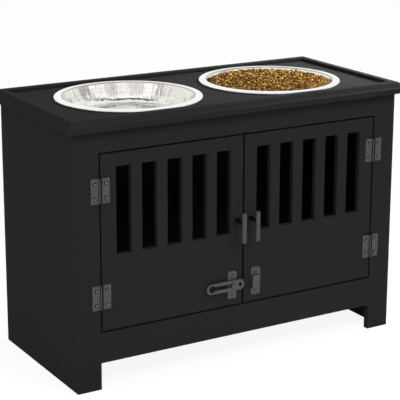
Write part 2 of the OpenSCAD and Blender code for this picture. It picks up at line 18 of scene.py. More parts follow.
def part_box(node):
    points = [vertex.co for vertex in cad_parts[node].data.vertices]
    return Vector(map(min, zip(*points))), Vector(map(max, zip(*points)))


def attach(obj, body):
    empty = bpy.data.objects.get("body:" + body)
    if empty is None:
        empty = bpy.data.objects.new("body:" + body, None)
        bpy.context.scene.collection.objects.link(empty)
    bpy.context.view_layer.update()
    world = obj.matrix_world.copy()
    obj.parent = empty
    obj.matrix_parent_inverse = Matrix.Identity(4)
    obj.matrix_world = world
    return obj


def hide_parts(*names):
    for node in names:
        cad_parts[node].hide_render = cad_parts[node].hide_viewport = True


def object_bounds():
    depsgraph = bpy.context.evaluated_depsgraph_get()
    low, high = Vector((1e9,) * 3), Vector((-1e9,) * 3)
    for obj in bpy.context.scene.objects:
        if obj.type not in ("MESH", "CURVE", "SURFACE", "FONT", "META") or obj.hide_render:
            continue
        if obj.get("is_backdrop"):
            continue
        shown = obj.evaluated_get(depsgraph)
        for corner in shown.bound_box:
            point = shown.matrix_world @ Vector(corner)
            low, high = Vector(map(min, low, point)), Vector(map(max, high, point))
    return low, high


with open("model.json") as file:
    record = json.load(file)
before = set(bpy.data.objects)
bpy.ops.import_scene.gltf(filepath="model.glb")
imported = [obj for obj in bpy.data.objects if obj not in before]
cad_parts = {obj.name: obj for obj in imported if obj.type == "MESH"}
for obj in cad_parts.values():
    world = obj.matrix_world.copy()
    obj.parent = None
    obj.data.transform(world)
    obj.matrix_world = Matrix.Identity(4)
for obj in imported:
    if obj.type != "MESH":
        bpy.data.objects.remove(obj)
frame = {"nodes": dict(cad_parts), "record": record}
cad_low, cad_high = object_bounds()
bodies = frame["record"]["behaviour"]["bodies"]
body_of_node = {node: body for body, nodes in bodies.items() for node in nodes}
slot_of_node = {row["node"]: row["material_slot"] for row in frame["record"]["subparts"]}
print("CAD nodes", len(body_of_node), "size", [round(v, 4) for v in cad_high - cad_low])

# %% [markdown]
# The bowls and their finish are placed from the top surface of the board and from their own
# middles. Both are read from the CAD boxes, so nothing can drift away from the cabinet.

# %% The deck and the middles of the bowls
deck_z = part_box("top_board")[1].z
SIDES = ("left", "right")
bowl_middle = {side: sum(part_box("bowl_" + side), Vector()) / 2 for side in SIDES}
print("deck", round(deck_z, 4), "bowls at", [round(m.x, 4) for m in bowl_middle.values()])

# %% [markdown]
# Real boards and pressed steel have small rounded edges that catch the light, so the rounds should
# shade smoothly while flat faces stay flat. Smooth shading with the true corners marked sharp does
# that, and the Weighted Normal modifier keeps the big faces flat up to their rounds. Every piece
# goes through finish_piece.

# %% Turn a bmesh into a finished piece
CREASE = math.radians(50)
made_pieces = {}

def new_mesh(name, shape, finish):
    """A mesh from a bmesh that is no longer needed, with its finish."""
    mesh = bpy.data.meshes.new(name)
    shape.to_mesh(mesh)
    shape.free()
    mesh.materials.append(finish)
    return mesh

def new_object(name, data):
    """An object in the scene for a mesh, a lamp or a camera."""
    thing = bpy.data.objects.new(name, data)
    bpy.context.scene.collection.objects.link(thing)
    return thing

def finish_piece(name, shape, nodes, finish, crease=CREASE):
    """A shape becomes a piece that stands for its CAD nodes and rides with their body."""
    bmesh.ops.recalc_face_normals(shape, faces=shape.faces)
    mesh = new_mesh(name, shape, finish)
    mesh.polygons.foreach_set("use_smooth", [True] * len(mesh.polygons))
    mesh.set_sharp_from_angle(angle=crease)
    piece = new_object(name, mesh)
    piece.modifiers.new("flat faces", "WEIGHTED_NORMAL").keep_sharp = True
    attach(piece, body_of_node[nodes[0]])
    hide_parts(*nodes)
    made_pieces[name] = len(mesh.polygons)

def count_of(word):
    """How many polygons each piece has whose name holds a word."""
    return {name: count for name, count in made_pieces.items() if word in name}

# %% [markdown]
# Finishes come before shapes, because each shape is given one. An effect that several share, such
# as the fine skin of sprayed paint and powder coat, is a node group that is built once. It puts out
# plain masks and heights. The shader stays in the material, with the numbers that are the same all
# over on its own sockets.

# %% Helpers for shader nodes
MIX_LOW, MIX_HIGH, MIX_RESULT = 6, 7, 2  # sockets of the Mix node when it mixes colours

def new_group(title, inputs):
    """A node group and its inputs. They are numbers, and those without a value are places."""
    group = bpy.data.node_groups.new(title, "ShaderNodeTree")
    for name, value in inputs.items():
        kind = "NodeSocketVector" if value is None else "NodeSocketFloat"
        socket = group.interface.new_socket(name, in_out="INPUT", socket_type=kind)
        if value is not None:
            socket.default_value = value
    return group, group.nodes.new("NodeGroupInput").outputs

def close_group(group, **masks):
    """Each finished mask becomes an output of the group."""
    for name in masks:
        group.interface.new_socket(name, in_out="OUTPUT", socket_type="NodeSocketFloat")
    ends = group.nodes.new("NodeGroupOutput").inputs
    for name, mask in masks.items():
        group.links.new(mask, ends[name])
    print("group", group.name, "puts out", list(masks))

def add_node(tree, kind, inputs=None, **settings):
    """A shader node with its settings, and each input set to a value or joined to another output."""
    node = tree.nodes.new("ShaderNode" + kind)
    for key, value in settings.items():
        setattr(node, key, value)
    for key, value in (inputs or {}).items():
        if isinstance(value, bpy.types.NodeSocket):
            tree.links.new(value, node.inputs[key])
        else:
            node.inputs[key].default_value = value
    return node

def calc(tree, operation, *values):
    """A number worked out from one to three others."""
    return add_node(tree, "Math", dict(enumerate(values)), operation=operation).outputs[0]

def ramp(tree, value, start, full):
    """A mask that is 0 up to start, 1 from full on, and rises evenly between them."""
    limits = {"Value": value, "From Min": start, "From Max": full}
    return add_node(tree, "MapRange", limits).outputs["Result"]

def spread(tree, mask, low, high):
    """A mask from 0 to 1, spread over the values from low to high."""
    limits = {"Value": mask, "To Min": low, "To Max": high}
    return add_node(tree, "MapRange", limits).outputs["Result"]

def noise(tree, place, scale, detail, distortion=0):
    """Soft random patches. A larger scale makes them finer, and detail breaks up their edges."""
    settings = {"Vector": place, "Scale": scale, "Detail": detail, "Distortion": distortion}
    return add_node(tree, "TexNoise", settings).outputs["Fac"]

def blend_colours(tree, mask, low, high):
    """A colour between low and high, by a mask from 0 to 1."""
    ends = {key: value if isinstance(value, bpy.types.NodeSocket) else (*value, 1)
            for key, value in ((MIX_LOW, low), (MIX_HIGH, high))}
    return add_node(tree, "Mix", {"Factor": mask, **ends}, data_type="RGBA").outputs[MIX_RESULT]

def new_finish(name, metallic, specular):
    """A material with its Principled shader and the place of each point on the piece."""
    finish = bpy.data.materials.new(name)
    finish.use_nodes = True
    tree = finish.node_tree
    shader = tree.nodes["Principled BSDF"]
    shader.inputs["Metallic"].default_value = metallic
    shader.inputs["Specular IOR Level"].default_value = specular
    return finish, tree, shader, add_node(tree, "TexCoord").outputs["Object"]

def connect(tree, shader, colour, roughness, height, strength, distance):
    """Colour, roughness and relief join the shader."""
    bump = add_node(tree, "Bump", {"Strength": strength, "Distance": distance, "Height": height})
    for value, key in ((colour, "Base Color"), (roughness, "Roughness"), (bump.outputs["Normal"], "Normal")):
        tree.links.new(value, shader.inputs[key])
    return bump

print("shader helpers ready")

# %% [markdown]
# A sprayed coat is never quite even. Droplets that flow together leave a fine orange peel, and the
# film is a little thicker or thinner every few centimetres, which shows as a slow change of sheen.
# Noise at two scales gives both: Grain sets how fine the peel is, and Patch the slow change.

# %% The skin of a sprayed coat, shared by the paint and the powder coat
SPECK_CORE = 0.1
SPECK_EDGE = 0.55
coat_skin, given = new_group("coat skin", {"Place": None, "Grain": 600, "Patch": 14})
place, grain = given["Place"], given["Grain"]
peel = noise(coat_skin, place, grain, 2)
patches = noise(coat_skin, place, given["Patch"], 4)
specks = add_node(coat_skin, "TexVoronoi", {"Vector": place, "Scale": grain}).outputs["Distance"]
specks = ramp(coat_skin, specks, SPECK_CORE, SPECK_EDGE)
close_group(coat_skin, Relief=peel, Patches=patches, Specks=specks)

def skin_of(tree, inputs):
    """The masks of the coat skin, for a coat with its own grain."""
    return add_node(tree, "Group", inputs, node_tree=coat_skin).outputs

# %% [markdown]
# The cabinet is fibreboard under satin black paint. A glossy shader turns black grey where it is
# seen at a low angle, as the top is here. A high roughness with a very low specular level keeps
# every side nearly black, and leaves a soft sheen on the top. The posts of the handles get a deeper
# black with a little more shine, which is painted shade for the shadow under the handle bars.

# %% Satin black paint, and the near-black painted shade of the handle posts
PAINT_TONES = ((0.0172, 0.0172, 0.0179), (0.0203, 0.0203, 0.021))
PAINT_ROUGHNESS = (0.7, 0.8)
POST_SHADE_TONES = ((0.0022, 0.0022, 0.0022), (0.0044, 0.0044, 0.0046))
POST_SHADE_ROUGHNESS = (0.4, 0.55)

def make_black(name, specular, grains, tones, roughnesses, **relief):
    """A black coat whose tone and sheen change slowly from place to place."""
    finish, tree, shader, place = new_finish(name, metallic=0.0, specular=specular)
    skin = skin_of(tree, {"Place": place, **grains})
    colour = blend_colours(tree, skin["Patches"], *tones)
    connect(tree, shader, colour, spread(tree, skin["Patches"], *roughnesses), skin["Relief"], **relief)
    return finish

black_paint = make_black("satin_black_paint", 0.012, {"Grain": 550, "Patch": 11},
                         PAINT_TONES, PAINT_ROUGHNESS, strength=0.12, distance=0.0006)
# The handle posts are coated near black as painted shade, for the shadow under the handle bars.
handle_post_painted_shade = make_black("handle_post_painted_shade", 0.1, {"Grain": 1400},
                          POST_SHADE_TONES, POST_SHADE_ROUGHNESS, strength=0.1, distance=0.0002)
print("made", black_paint.name, "and", handle_post_painted_shade.name)

# %% [markdown]
# Hinges, handles and latch are steel under a dark grey powder coat. Powder melts into a skin with
# a sandy speckle that reads lighter than the board behind it. On the hinges, a near-black line of
# painted shade runs along the middle of the barrel, for the barrel's shaded side. Its mask is
# the distance from the hinge axis, the same on both sides of the cabinet.

# %% Dark grey powder coat, plain and with a line of painted shade on the hinge barrel
HINGE_SHADE_LINE = 0.0009
HINGE_SHADE_LINE_FADE = 0.0003
PAINTED_SHADE_TONE = (0.002, 0.002, 0.002)
POWDER_GROUND = (0.036, 0.036, 0.038)
POWDER_SPECKS = ((0.012, 0.012, 0.013), (0.088, 0.088, 0.091))
POWDER_METALLIC = 0.35
POWDER_SPECULAR = 0.4
POWDER_ROUGHNESS = (0.38, 0.5)
SPECKS_LEAST = 0.2
hinge_axis_x = (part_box("hinge_leaf_frame_right_upper")[0].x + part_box("hinge_leaf_door_right_upper")[1].x) / 2

def make_powder_coat(name, with_shade_line):
    finish, tree, shader, place = new_finish(name, POWDER_METALLIC, POWDER_SPECULAR)
    skin = skin_of(tree, {"Place": place, "Grain": 640, "Patch": 90})
    speckle = blend_colours(tree, skin["Specks"], *POWDER_SPECKS)
    colour = blend_colours(tree, spread(tree, skin["Patches"], SPECKS_LEAST, 1), POWDER_GROUND, speckle)
    # Painted shade: a near-black line without shine along the middle of the hinge barrel, for its shaded side.
    if with_shade_line:
        x = add_node(tree, "SeparateXYZ", {"Vector": place}).outputs["X"]
        away = calc(tree, "ABSOLUTE", calc(tree, "SUBTRACT", calc(tree, "ABSOLUTE", x), hinge_axis_x))
        clear_of_shade_line = ramp(tree, away, HINGE_SHADE_LINE, HINGE_SHADE_LINE + HINGE_SHADE_LINE_FADE)
        colour = blend_colours(tree, clear_of_shade_line, PAINTED_SHADE_TONE, colour)
        tree.links.new(spread(tree, clear_of_shade_line, 0, POWDER_SPECULAR), shader.inputs["Specular IOR Level"])
        tree.links.new(spread(tree, clear_of_shade_line, 0, POWDER_METALLIC), shader.inputs["Metallic"])
    roughness = spread(tree, skin["Patches"], *POWDER_ROUGHNESS)
    connect(tree, shader, colour, roughness, skin["Specks"], strength=0.45, distance=0.0003)
    return finish

powder_coat = make_powder_coat("dark_powder_coat", False)
hinge_coat_with_painted_shade = make_powder_coat("dark_powder_coat_with_painted_shade_line", True)
print("made", powder_coat.name, "and", hinge_coat_with_painted_shade.name)

# %% [markdown]
# The small screws are dark steel. The middle of each head is bright bare steel, a painted highlight,
# and the rest is near black, partly the head's own dark colour and partly painted shade, so a head
# reads as a bright dot in a dark ring. Each point carries its distance from the axis of its
# own screw, as a share of the head's radius, and scratches make the edge of the dot ragged.

# %% Dark screws with a painted highlight in a ring of painted shade
HIGHLIGHT_STEEL = (0.7, 0.7, 0.69)
HEAD_AND_SHADE_BLACK = (0.002, 0.002, 0.002)
RAGGED = 0.24
HIGHLIGHT_TO = 0.37
SHADE_FROM = 0.49

def make_screw_with_painted_highlight():
    finish, tree, shader, place = new_finish("screw_painted_highlight_and_shade", metallic=1.0, specular=0.08)
    reach = add_node(tree, "Attribute", attribute_name="from_axis").outputs["Fac"]
    scratches = noise(tree, place, 2200, 3)
    # Painted highlight: bright bare steel in the middle of each head. The near-black ring round it is partly the
    # head's own colour and partly painted shade.
    ring_shade = ramp(tree, calc(tree, "MULTIPLY_ADD", scratches, RAGGED, reach), HIGHLIGHT_TO, SHADE_FROM)
    tree.links.new(spread(tree, ring_shade, 1, 0), shader.inputs["Metallic"])
    colour = blend_colours(tree, ring_shade, HIGHLIGHT_STEEL, HEAD_AND_SHADE_BLACK)
    connect(tree, shader, colour, spread(tree, scratches, 0.2, 0.4), scratches, strength=0.1, distance=0.0001)
    return finish

screw_with_painted_highlight = make_screw_with_painted_highlight()
print("made", screw_with_painted_highlight.name)

# %% [markdown]
# The rails and cleats under the top board are bare softwood. Noise that is stretched along the
# piece gives the fibres of its grain, and a slower one the yearly bands. A Mapping node turns the
# same grain for the pieces that run front to back.

# %% Bare wood, in two directions
FIBRE_SCALE = (12, 900, 900)
BAND_SCALE = (3, 110, 110)
WOOD_TONES = ((0.34, 0.2, 0.09), (0.62, 0.44, 0.25))
FIBRE_TONE = (0.28, 0.16, 0.07)
wood_grain, given = new_group("wood grain", {"Along": None})
fine, slow = (add_node(wood_grain, "Mapping", {"Vector": given["Along"], "Scale": scale})
              for scale in (FIBRE_SCALE, BAND_SCALE))
close_group(wood_grain, Fibres=noise(wood_grain, fine.outputs["Vector"], 1, 5),
            Bands=noise(wood_grain, slow.outputs["Vector"], 1, 3, distortion=0.8))

def make_bare_wood(name, turn):
    finish, tree, shader, place = new_finish(name, metallic=0.0, specular=0.3)
    along = add_node(tree, "Mapping", {"Vector": place, "Rotation": (0, 0, turn)}).outputs["Vector"]
    grain = add_node(tree, "Group", {"Along": along}, node_tree=wood_grain).outputs
    base = blend_colours(tree, grain["Bands"], *WOOD_TONES)
    colour = blend_colours(tree, spread(tree, grain["Fibres"], 0, 0.5), base, FIBRE_TONE)
    roughness = spread(tree, grain["Fibres"], 0.55, 0.75)
    connect(tree, shader, colour, roughness, grain["Fibres"], strength=0.3, distance=0.0004)
    return finish

wood_along_rails = make_bare_wood("softwood_along_the_rails", 0)
wood_along_cleats = make_bare_wood("softwood_along_the_cleats", math.pi / 2)
print("made", wood_along_rails.name, "and", wood_along_cleats.name)

# %% [markdown]
# The screws in the carcass are zinc plated, a dull silver that is cloudy from plating.

# %% Zinc plate
ZINC_TONES = ((0.46, 0.46, 0.45), (0.64, 0.65, 0.68))

def make_zinc_plate():
    finish, tree, shader, place = new_finish("zinc_plate", metallic=1.0, specular=0.5)
    cloud = noise(tree, place, 900, 4)
    colour = blend_colours(tree, cloud, *ZINC_TONES)
    connect(tree, shader, colour, spread(tree, cloud, 0.25, 0.5), cloud, strength=0.15, distance=0.0002)
    return finish

zinc_plate = make_zinc_plate()
print("made", zinc_plate.name)

# %% [markdown]
# A bowl is pressed from stainless sheet and polished while it spins, so its fine scratches are
# rings round its own middle. Pressing leaves slow dents all over, and shallow creases that run up
# the wall where the sheet was drawn in. Polished steel shows only what it reflects, and these waves
# break a reflection into patches and streaks. The flat bottom was hardly stretched, so it is much
# smoother. The group measures from the middle of a bowl, which the material of each bowl puts in
# its place with a Mapping node.

# %% Rings, creases and dents of pressed steel
RING_BREAKS = (1.6, 1.6, 0)  # how often a ring fades and returns on its way round
WALL_STARTS = 0.055
WALL_FULL = 0.082
BOTTOM_DENTS = 0.35  # as a share of the dents in the wall
CREASE_SHARE = 0.6
pressed, given = new_group("pressed sheet", {"From Middle": None, "Pitch": 0.0008})
from_middle = given["From Middle"]

def calc_vector(operation, *values):
    """The outputs of a vector sum in the group."""
    inputs = dict(enumerate(values))
    return add_node(pressed, "VectorMath", inputs, operation=operation).outputs

flat_place = calc_vector("MULTIPLY", from_middle, (1, 1, 0))["Vector"]
reach = calc_vector("LENGTH", flat_place)["Value"]
height = add_node(pressed, "SeparateXYZ", {"Vector": from_middle}).outputs["Z"]
along_sheet = calc(pressed, "SUBTRACT", reach, height)
ring_count = calc(pressed, "DIVIDE", along_sheet, given["Pitch"])
round_way = calc_vector("NORMALIZE", flat_place)["Vector"]
ring_step = add_node(pressed, "CombineXYZ", {"Z": ring_count}).outputs["Vector"]
ring_place = calc_vector("MULTIPLY_ADD", round_way, RING_BREAKS, ring_step)["Vector"]
on_wall = ramp(pressed, reach, WALL_STARTS, WALL_FULL)
creases = calc(pressed, "MULTIPLY", noise(pressed, round_way, 9, 3), on_wall)
dents = calc(pressed, "MULTIPLY", noise(pressed, from_middle, 38, 2),
             spread(pressed, on_wall, BOTTOM_DENTS, 1))
close_group(pressed, Rings=noise(pressed, ring_place, 1, 3),
            Haze=noise(pressed, from_middle, 42, 4, distortion=0.6),
            Waves=calc(pressed, "MULTIPLY_ADD", creases, CREASE_SHARE, dents), Reach=reach)

# %% [markdown]
# Inside, the steel is polished. Its colour carries warm grey streaks along the polishing rings and
# soft patches, which are painted reflections. The flange is brushed, so it is duller and an even
# white, and a fine grey line of painted shade lies where it turns down into the wall. The distance
# from the middle parts the two and draws the line.

# %% Polished steel, with painted reflections and a painted shade line
WAVE_HEIGHT = 0.0026
STREAK_PITCH = 0.0024
STREAK_LIMITS = (0.36, 0.6)
STREAK_REFLECTION_TONE = (0.74, 0.725, 0.69)
HAZE_REFLECTION_TONES = ((0.7, 0.68, 0.635), (1.0, 1.0, 1.0))
POLISHED_ROUGHNESS = (0.15, 0.28)
FLANGE_FROM = 0.1003
FLANGE_BLEND = 0.0012
FLANGE_ROUGHNESS = 0.4
FLANGE_TONE = (0.95, 0.95, 0.95)
LIP_SHADE_LINE = 0.0002
LIP_SHADE_TONE = (0.42, 0.4, 0.37)

def make_bowl_steel(side):
    finish, tree, shader, place = new_finish("polished_steel_" + side, metallic=1.0, specular=0.5)
    away = (-bowl_middle[side].x, -bowl_middle[side].y, -deck_z)
    centred = add_node(tree, "Mapping", {"Vector": place, "Location": away}).outputs["Vector"]
    inputs = {"From Middle": centred, "Pitch": STREAK_PITCH}
    sheet = add_node(tree, "Group", inputs, node_tree=pressed).outputs
    streaks = ramp(tree, sheet["Rings"], *STREAK_LIMITS)
    # The warm grey streaks and soft patches in the colour of the inside are painted reflections.
    inside = blend_colours(tree, streaks, STREAK_REFLECTION_TONE, blend_colours(tree, sheet["Haze"], *HAZE_REFLECTION_TONES))
    on_flange = ramp(tree, sheet["Reach"], FLANGE_FROM, FLANGE_FROM + FLANGE_BLEND)
    # Painted shade: a fine grey line where the flange turns down into the wall.
    off_lip = calc(tree, "ABSOLUTE", calc(tree, "SUBTRACT", sheet["Reach"], FLANGE_FROM))
    past_lip = ramp(tree, off_lip, LIP_SHADE_LINE, FLANGE_BLEND)
    colour = blend_colours(tree, past_lip, LIP_SHADE_TONE, blend_colours(tree, on_flange, inside, FLANGE_TONE))
    worn = calc(tree, "MULTIPLY", spread(tree, streaks, 0, 0.5), sheet["Haze"])
    roughness = spread(tree, on_flange, spread(tree, worn, *POLISHED_ROUGHNESS), FLANGE_ROUGHNESS)
    scratched = connect(tree, shader, colour, roughness, sheet["Rings"], strength=0.25, distance=0.0003)
    waves = {"Strength": 1, "Distance": WAVE_HEIGHT, "Height": sheet["Waves"]}
    wavy = add_node(tree, "Bump", waves)
    tree.links.new(wavy.outputs["Normal"], scratched.inputs["Normal"])
    return finish

bowl_steel = {side: make_bowl_steel(side) for side in SIDES}
print("made", [m.name for m in bowl_steel.values()])

# %% [markdown]
# Dry food is baked dough: golden brown, darker where the oven caught it, matt and pitted. Every
# pellet carries its own tone as a number on its points, so neighbours differ. The tone also holds
# painted shade for pellets deep in the pile, and the bed under them is near black, painted shade
# for the gaps.

# %% Baked pellets
PELLET_BAKES = ((0.04, 0.018, 0.004), (0.64, 0.355, 0.08))
# The crumbs of the bed are near black, as painted shade in the gaps between the pellets.
CRUMB_AND_GAP_SHADE_TONES = ((0.012, 0.006, 0.002), (0.03, 0.016, 0.005))

def make_baked(name, dark, light):
    finish, tree, shader, place = new_finish(name, metallic=0.0, specular=0.03)
    tone = add_node(tree, "Attribute", attribute_name="tone").outputs["Fac"]
    pits = noise(tree, place, 900, 4)
    scorch = blend_colours(tree, spread(tree, pits, 0, 0.55), blend_colours(tree, tone, dark, light), dark)
    connect(tree, shader, scorch, spread(tree, pits, 0.5, 0.8), pits, strength=0.5, distance=0.0005)
    return finish

baked_pellet = make_baked("baked_pellet", *PELLET_BAKES)
crumbs_with_painted_gap_shade = make_baked("crumbs_with_painted_gap_shade", *CRUMB_AND_GAP_SHADE_TONES)
print("made", baked_pellet.name, "and", crumbs_with_painted_gap_shade.name)

# %% [markdown]
# The carcass is flat board, sawn square and sanded to a small round at each edge. A board starts as
# a cube that is stretched to its CAD box, and one bevel rounds its edges. Where two boards of the
# face frame are glued flush, the joint is sanded and painted over, so the edges there stay square.

# %% Boards with sanded edges
FLUSH_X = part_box("top_rail")[1].x
FLUSH_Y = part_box("stile_left")[1].y
HAIR = 0.00002

def in_flush_joint(edge):
    """True for an edge that lies where the boards of the face frame are glued together."""
    beside_stile = all(abs(abs(v.co.x) - FLUSH_X) < HAIR for v in edge.verts)
    behind_stile = all(abs(v.co.y - FLUSH_Y) < HAIR for v in edge.verts)
    return beside_stile or behind_stile

def round_edges(shape, radius, steps=2, angle=30, spared=None):
    """Rounds every edge of the shape that is sharper than the angle, in degrees, and isn't spared."""
    sharp = [e for e in shape.edges if len(e.link_faces) == 2 and e.calc_face_angle(0) > math.radians(angle)
             and not (spared and spared(e))]
    bmesh.ops.bevel(shape, geom=sharp, offset=radius, offset_type="OFFSET", segments=steps, profile=0.5,
                    affect="EDGES", material=-1, clamp_overlap=True)

def block(low, high):
    """A bmesh block from its lowest to its highest corner."""
    shape = bmesh.new()
    size = Vector(high) - Vector(low)
    middle = (Vector(high) + Vector(low)) / 2
    stretch = Matrix.Translation(middle) @ Matrix.Diagonal((*size, 1))
    bmesh.ops.create_cube(shape, size=1, matrix=stretch)
    return shape

SANDED = 0.0005
painted_boards = ("side_panel_left", "side_panel_right", "stile_left", "stile_right",
                  "top_rail", "apron", "back_panel", "bottom_panel")
bare_boards = {"stop_rail": wood_along_rails, "rear_rail": wood_along_rails,
               "cleat_left": wood_along_cleats, "cleat_right": wood_along_cleats}
for node in painted_boards + tuple(bare_boards):
    board = block(*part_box(node))
    round_edges(board, SANDED, spared=in_flush_joint)
    finish_piece("board_" + node, board, [node], bare_boards.get(node, black_paint))
print("boards", len(made_pieces))

# %% [markdown]
# Some CAD pieces already have the right shape and only lack rounded edges. Their meshes are loose
# triangles, so a copy is merged, its flat faces are joined up, and its edges are rounded.

# %% Top board, back strip, dowels and carcass screws
SAME_POINT = 1e-6
NEARLY_FLAT = math.radians(0.5)
TOP_EDGE = 0.0004
BACK_STRIP_EDGE = 0.0006

def rounded_copy(node, radius):
    """A copy of a CAD node with its triangles merged and, with a radius, its edges rounded."""
    shape = bmesh.new()
    shape.from_mesh(frame["nodes"][node].data)
    bmesh.ops.remove_doubles(shape, verts=shape.verts, dist=SAME_POINT)
    bmesh.ops.dissolve_limit(shape, angle_limit=NEARLY_FLAT, verts=shape.verts, edges=shape.edges)
    if radius:
        round_edges(shape, radius)
    return shape

copies = (("top_board_with_holes", "top_board", TOP_EDGE, black_paint),
          ("back_strip", "moulding_back", BACK_STRIP_EDGE, black_paint),
          ("joint_dowels", "dowels", 0, wood_along_rails),
          ("zinc_cleat_screws", "cleat_screws", 0, zinc_plate),
          ("zinc_back_screws", "back_screws", 0, zinc_plate))
for name, node, edge, coat in copies:
    finish_piece(name, rounded_copy(node, edge), [node], coat)
print("copies", len(copies), "pieces", len(made_pieces))

# %% [markdown]
# The top is framed by a moulding that is cut with a shaped router bit: a flat lip that laps over
# the board, an S-shaped slope, a small ledge and an upright band. The section is drawn once, as
# how far out and how far up each point lies, and pushed out along each side. Its edges are rounded
# while it is one long stick, and only then is it mitred, so the two ends at a corner match.

# %% The section of the moulding
LIP = 0.008
BAND = 0.0085
LIP_FLAT = 0.002
LEDGE_AT = 0.012
OVERHANG = 0.013
BOARD = 0.012
RIM_TOP = 0.017
OGEE_STEPS = 20
ARRIS = 0.0005
SHARPER_THAN_OGEE = 40
moulding_section = [(0, 0), (0, BOARD), (-LIP, BOARD), (-LIP, RIM_TOP)]
for k in range(OGEE_STEPS + 1):
    out = LIP_FLAT + (LEDGE_AT - LIP_FLAT) * k / OGEE_STEPS
    up = BAND + (RIM_TOP - BAND) * (1 + math.cos(math.pi * k / OGEE_STEPS)) / 2
    moulding_section.append((out, up))
moulding_section += [(OVERHANG, BAND), (OVERHANG, 0)]
print("section points", len(moulding_section))

# %% [markdown]
# Each saw cut is a plane that leans 45 degrees. It clears what lies beyond it and the open end is
# filled again. The front length is cut at both ends, and a side length only at its front end, as it
# ends square against the back strip.

# %% Push the section out and saw the mitres
def push(shape, faces, way):
    """Faces are drawn out into a solid."""
    drawn = bmesh.ops.extrude_face_region(shape, geom=faces)
    moved = [v for v in drawn["geom"] if isinstance(v, bmesh.types.BMVert)]
    bmesh.ops.translate(shape, verts=moved, vec=way)

def saw(shape, where, away, clear=False):
    """A plane divides the shape, and what lies beyond it is kept or cleared."""
    everything = shape.verts[:] + shape.edges[:] + shape.faces[:]
    return bmesh.ops.bisect_plane(shape, geom=everything, plane_co=where, plane_no=away, clear_outer=clear)

def moulding(corner, outward, along, length, saws):
    """The section stands at a corner of the carcass, faces outward and is drawn out along the side."""
    shape = bmesh.new()
    points = [shape.verts.new(corner + outward * out + Vector((0, 0, up))) for out, up in moulding_section]
    section = shape.faces.new(points)
    push(shape, [section], along * length)
    round_edges(shape, ARRIS, angle=SHARPER_THAN_OGEE)
    for where, away in saws:
        cut = saw(shape, where, away, clear=True)
        rim = [e for e in cut["geom_cut"] if isinstance(e, bmesh.types.BMEdge)]
        bmesh.ops.edgeloop_fill(shape, edges=rim)
    return shape

def build_mouldings():
    low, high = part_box("top_board")
    corners = {"left": low, "right": Vector((high.x, low.y, low.z))}
    across, back = Vector((1, 0, 0)), Vector((0, 1, 0))
    front = moulding(low - across * OVERHANG, -back, across, high.x - low.x + 2 * OVERHANG,
                     [(corners["left"], (-1, 1, 0)), (corners["right"], (1, 1, 0))])
    finish_piece("front_moulding", front, ["moulding_front"], black_paint)
    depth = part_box("moulding_left")[1].y - low.y
    for side, way in (("left", -1), ("right", 1)):
        stick = moulding(corners[side] - back * OVERHANG, across * way, back, depth + OVERHANG,
                         [(corners[side], (-way, -1, 0))])
        finish_piece(side + "_side_moulding", stick, ["moulding_" + side], black_paint)

build_mouldings()
print("mouldings", count_of("moulding"))

# %% [markdown]
# A door is one board with five upright slots routed right through it. It starts as a single face
# of the door's outline. Cuts at the slot edges divide it, the faces over the slots are taken out,
# and the rest is pushed back by the door's thickness.

# %% Slotted doors
SLOT_WIDE = 0.024
SLOT_PITCH = 0.0418
SLOT_INSET = 0.0215
SLOT_DROP = 0.0205
SLOT_TALL = 0.130
SLOTS = 5
DOOR_EDGE = 0.0007
DOOR_EDGE_STEPS = 3

def slotted_door(node, side):
    """A door whose slots are counted from its meeting edge, which is its left one for side 1."""
    low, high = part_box(node)
    meeting = low.x if side > 0 else high.x
    near = [meeting + side * (SLOT_INSET + i * SLOT_PITCH) for i in range(SLOTS)]
    slots = [sorted((x, x + side * SLOT_WIDE)) for x in near]
    slot_high = high.z - SLOT_DROP
    slot_low = slot_high - SLOT_TALL
    shape = bmesh.new()
    corners = ((low.x, low.z), (high.x, low.z), (high.x, high.z), (low.x, high.z))
    shape.faces.new([shape.verts.new((x, low.y, z)) for x, z in corners])
    cuts = [((x, 0, 0), (1, 0, 0)) for edges in slots for x in edges]
    cuts += [((0, 0, z), (0, 0, 1)) for z in (slot_low, slot_high)]
    for where, direction in cuts:
        saw(shape, where, direction)
    inside = [f for f in shape.faces if slot_low < f.calc_center_median().z < slot_high
              and any(a < f.calc_center_median().x < b for a, b in slots)]
    bmesh.ops.delete(shape, geom=inside, context="FACES")
    push(shape, shape.faces[:], (0, high.y - low.y, 0))
    bmesh.ops.recalc_face_normals(shape, faces=shape.faces)
    round_edges(shape, DOOR_EDGE, DOOR_EDGE_STEPS)
    finish_piece(node.replace("door_", "") + "_slotted_door", shape, [node], black_paint)

slotted_door("door_left", -1)
slotted_door("door_right", 1)
print("doors", count_of("slotted"))

# %% [markdown]
# Hinge leaves, handles and latch pieces are tumbled before they are coated. Their CAD shapes are
# right, knuckles and keyhole included, and a hair of rounding is all that their edges need.

# %% Hinges, handles and latch
hardware_edges = {"hinge_leaf": 0.00018, "hinge_pins": 0.0002, "handle_bar": 0.0003, "handle_post": 0.0001,
                  "latch_plate": 0.00025, "latch_keeper": 0.0002, "latch_bar": 0.0003, "latch_stud": 0.00025}
special_coats = {"hinge_": hinge_coat_with_painted_shade, "handle_post": handle_post_painted_shade}
for node, slot in slot_of_node.items():
    if slot != "hardware_metal" or "screw" in node:
        continue
    edge = next(v for k, v in hardware_edges.items() if node.startswith(k))
    coat = next((v for k, v in special_coats.items() if node.startswith(k)), powder_coat)
    finish_piece("coated_" + node, rounded_copy(node, edge), [node], coat)
print("coated pieces", len(count_of("coated_")))

# %% [markdown]
# A node of screws is one mesh with several screws in it. They are told apart by walking along their
# edges, and each point is marked with how far out it lies on its own screw. The screws of the latch
# were coated together with it, so only the others get the painted highlight in a ring of painted shade.

